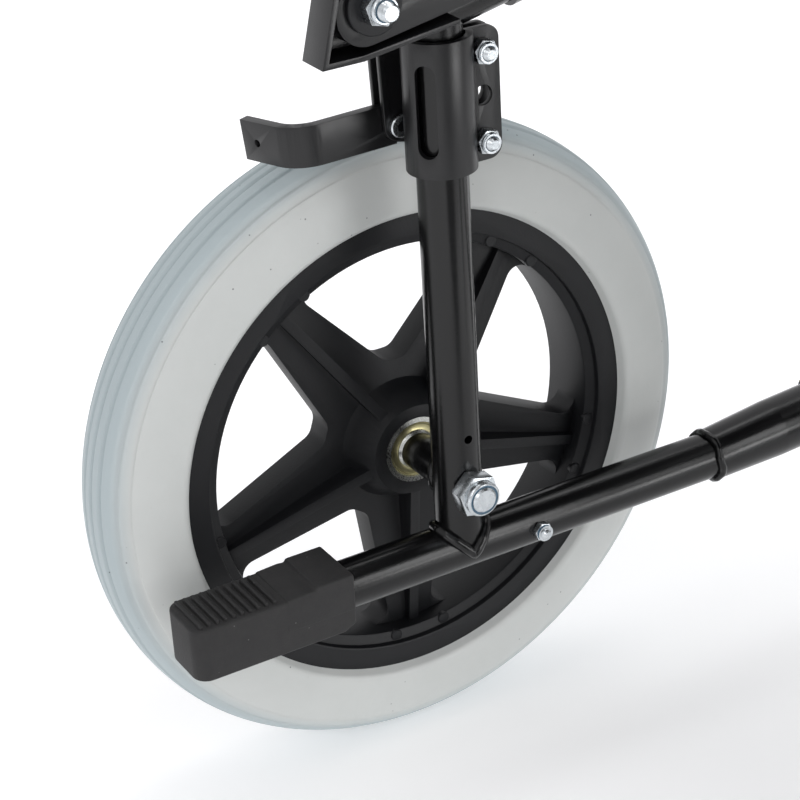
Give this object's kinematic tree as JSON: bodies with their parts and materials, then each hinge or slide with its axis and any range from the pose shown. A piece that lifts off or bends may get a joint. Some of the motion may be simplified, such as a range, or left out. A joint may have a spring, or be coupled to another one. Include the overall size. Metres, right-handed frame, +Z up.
{
  "type": "manual wheelchair",
  "caption": "Folding transit wheelchair: side frames on an X brace, sling seat and back, solid rear wheels, castors, flip-up arms, swing-away footrests and brakes.",
  "frame": {"origin": "on the floor, under the middle of the chair", "axes": "+Z up, -Y the way the chair faces, +X the user's left"},
  "size_m": [0.597, 0.875, 0.916],
  "materials": {
    "black_powder_coat": "semi-gloss black powder coat on steel tube",
    "black_sheet": "satin black coated steel sheet and bar",
    "black_nylon": "satin black moulded nylon",
    "black_plastic": "fine-grained black plastic",
    "black_rubber": "matte moulded rubber",
    "zinc_plate": "bright zinc plate",
    "bearing_steel": "ground steel with a yellow zinc shield",
    "rim_plastic": "glass-filled black nylon",
    "grey_tyre": "light grey solid polyurethane",
    "grip_foam": "ribbed black rubber",
    "pad_vinyl": "grained black vinyl over foam",
    "guard_plastic": "textured black sheet plastic",
    "seat_cloth": "woven black nylon"
  },
  "bodies": {
    "left_frame": {"left_axle_unit": "black_powder_coat", "left_lower_rail": "black_powder_coat", "left_rear_post": "black_powder_coat", "left_side_rail": "black_powder_coat", "left_front_upright": "black_powder_coat", "left_post_clamp": "black_sheet", "left_saddle_arm": "black_nylon", "left_gusset_bracket": "black_sheet", "left_tip_cap": "black_rubber", "left_fasteners": "zinc_plate", "left_handle_grip": "grip_foam", "back_sling": "seat_cloth"},
    "left_rear_wheel": {"left_wheel_rim": "rim_plastic", "left_wheel_spokes": "rim_plastic", "left_tyre": "grey_tyre", "left_wheel_bearings": "bearing_steel"},
    "left_brake_arm": {"left_brake_arm": "black_sheet"},
    "left_brake_link": {"left_brake_link": "black_sheet"},
    "left_brake_lever": {"left_brake_lever": "black_sheet"},
    "left_armrest": {"left_armrest_frame": "black_powder_coat", "left_armrest_pad": "pad_vinyl", "left_skirt_guard": "guard_plastic"},
    "left_castor_fork": {"left_castor_fork": "black_powder_coat"},
    "left_castor_wheel": {"left_castor_wheel": "rim_plastic", "left_castor_tyre": "grey_tyre"},
    "left_hanger": {"left_hanger": "black_powder_coat"},
    "left_footplate": {"left_footplate": "black_plastic"},
    "right_frame": {"right_axle_unit": "black_powder_coat", "right_lower_rail": "black_powder_coat", "right_rear_post": "black_powder_coat", "right_side_rail": "black_powder_coat", "right_front_upright": "black_powder_coat", "right_post_clamp": "black_sheet", "right_saddle_arm": "black_nylon", "right_gusset_bracket": "black_sheet", "right_tip_cap": "black_rubber", "right_fasteners": "zinc_plate", "right_handle_grip": "grip_foam"},
    "right_rear_wheel": {"right_wheel_rim": "rim_plastic", "right_wheel_spokes": "rim_plastic", "right_tyre": "grey_tyre", "right_wheel_bearings": "bearing_steel"},
    "right_brake_arm": {"right_brake_arm": "black_sheet"},
    "right_brake_link": {"right_brake_link": "black_sheet"},
    "right_brake_lever": {"right_brake_lever": "black_sheet"},
    "right_armrest": {"right_armrest_frame": "black_powder_coat", "right_armrest_pad": "pad_vinyl", "right_skirt_guard": "guard_plastic"},
    "right_castor_fork": {"right_castor_fork": "black_powder_coat"},
    "right_castor_wheel": {"right_castor_wheel": "rim_plastic", "right_castor_tyre": "grey_tyre"},
    "right_hanger": {"right_hanger": "black_powder_coat"},
    "right_footplate": {"right_footplate": "black_plastic"},
    "cross_left_foot": {"cross_left_foot": "black_powder_coat", "seat_rail_right": "black_powder_coat", "cross_bolt": "zinc_plate", "seat_sling_right": "seat_cloth"},
    "cross_right_foot": {"cross_right_foot": "black_powder_coat", "seat_rail_left": "black_powder_coat", "seat_sling_left": "seat_cloth"}
  },
  "joints": [
    {"name": "fold", "type": "hinge", "parent": "left_frame", "child": "cross_left_foot", "pos_m": [0.21, 0.1445, 0.12], "axis": [0, 0.9976, -0.0698], "range_deg": [0, 32], "deforming": ["seat_sling_left", "seat_sling_right", "back_sling"]},
    {"name": "cross_centre", "type": "hinge", "parent": "cross_left_foot", "child": "cross_right_foot", "pos_m": [0, 0.15721, 0.30181], "axis": [0, 0.9976, -0.0698], "range_deg": [-64, 0]},
    {"name": "right_foot_pivot", "type": "hinge", "parent": "cross_right_foot", "child": "right_frame", "pos_m": [-0.21, 0.1445, 0.12], "axis": [0, 0.9976, -0.0698], "range_deg": [0, 32]},
    {"name": "left_wheel_spin", "type": "hinge", "parent": "left_frame", "child": "left_rear_wheel", "pos_m": [0.2675, 0.2845, 0.153], "axis": [1, 0, 0], "continuous": true},
    {"name": "left_castor_swivel", "type": "hinge", "parent": "left_frame", "child": "left_castor_fork", "pos_m": [0.21, -0.1955, 0.176], "axis": [0, 0, 1], "continuous": true},
    {"name": "left_castor_spin", "type": "hinge", "parent": "left_castor_fork", "child": "left_castor_wheel", "pos_m": [0.21, -0.1655, 0.075], "axis": [1, 0, 0], "continuous": true},
    {"name": "left_armrest_flip", "type": "hinge", "parent": "left_frame", "child": "left_armrest", "pos_m": [0.239, 0.2845, 0.675], "axis": [-1, 0, 0], "range_deg": [0, 100]},
    {"name": "left_hanger_swing", "type": "hinge", "parent": "left_frame", "child": "left_hanger", "pos_m": [0.21, -0.2305, 0.388], "axis": [0, 0, 1], "range_deg": [0, 100]},
    {"name": "left_footplate_flip", "type": "hinge", "parent": "left_hanger", "child": "left_footplate", "pos_m": [0.185, -0.3635, 0.085], "axis": [0, 1, 0], "range_deg": [-90, 0]},
    {"name": "left_brake_pull", "type": "hinge", "parent": "left_frame", "child": "left_brake_lever", "pos_m": [0.2325, 0.2845, 0.44], "axis": [-1, 0, 0], "range_deg": [0, 16]},
    {"name": "left_brake_arm_turn", "type": "hinge", "parent": "left_frame", "child": "left_brake_arm", "pos_m": [0.2325, 0.266, 0.311], "axis": [-1, 0, 0], "range_deg": [0, 8]},
    {"name": "left_brake_link_turn", "type": "hinge", "parent": "left_brake_arm", "child": "left_brake_link", "pos_m": [0.2325, 0.294, 0.3175], "axis": [-1, 0, 0], "range_deg": [-8, 0]},
    {"name": "right_wheel_spin", "type": "hinge", "parent": "right_frame", "child": "right_rear_wheel", "pos_m": [-0.2675, 0.2845, 0.153], "axis": [1, 0, 0], "continuous": true},
    {"name": "right_castor_swivel", "type": "hinge", "parent": "right_frame", "child": "right_castor_fork", "pos_m": [-0.21, -0.1955, 0.176], "axis": [0, 0, 1], "continuous": true},
    {"name": "right_castor_spin", "type": "hinge", "parent": "right_castor_fork", "child": "right_castor_wheel", "pos_m": [-0.21, -0.1655, 0.075], "axis": [1, 0, 0], "continuous": true},
    {"name": "right_armrest_flip", "type": "hinge", "parent": "right_frame", "child": "right_armrest", "pos_m": [-0.239, 0.2845, 0.675], "axis": [-1, 0, 0], "range_deg": [0, 100]},
    {"name": "right_hanger_swing", "type": "hinge", "parent": "right_frame", "child": "right_hanger", "pos_m": [-0.21, -0.2305, 0.388], "axis": [0, 0, -1], "range_deg": [0, 100]},
    {"name": "right_footplate_flip", "type": "hinge", "parent": "right_hanger", "child": "right_footplate", "pos_m": [-0.185, -0.3635, 0.085], "axis": [0, -1, 0], "range_deg": [-90, 0]},
    {"name": "right_brake_pull", "type": "hinge", "parent": "right_frame", "child": "right_brake_lever", "pos_m": [-0.2325, 0.2845, 0.44], "axis": [-1, 0, 0], "range_deg": [0, 16]},
    {"name": "right_brake_arm_turn", "type": "hinge", "parent": "right_frame", "child": "right_brake_arm", "pos_m": [-0.2325, 0.266, 0.311], "axis": [-1, 0, 0], "range_deg": [0, 8]},
    {"name": "right_brake_link_turn", "type": "hinge", "parent": "right_brake_arm", "child": "right_brake_link", "pos_m": [-0.2325, 0.294, 0.3175], "axis": [-1, 0, 0], "range_deg": [-8, 0]}
  ],
  "couplings": [
    {"joint": "cross_centre", "follows": "fold", "ratio": -2},
    {"joint": "right_foot_pivot", "follows": "fold", "ratio": 1},
    {"joint": "left_brake_arm_turn", "follows": "left_brake_pull", "ratio": 0.49},
    {"joint": "left_brake_link_turn", "follows": "left_brake_pull", "ratio": -0.49},
    {"joint": "right_brake_arm_turn", "follows": "right_brake_pull", "ratio": 0.49},
    {"joint": "right_brake_link_turn", "follows": "right_brake_pull", "ratio": -0.49}
  ]
}
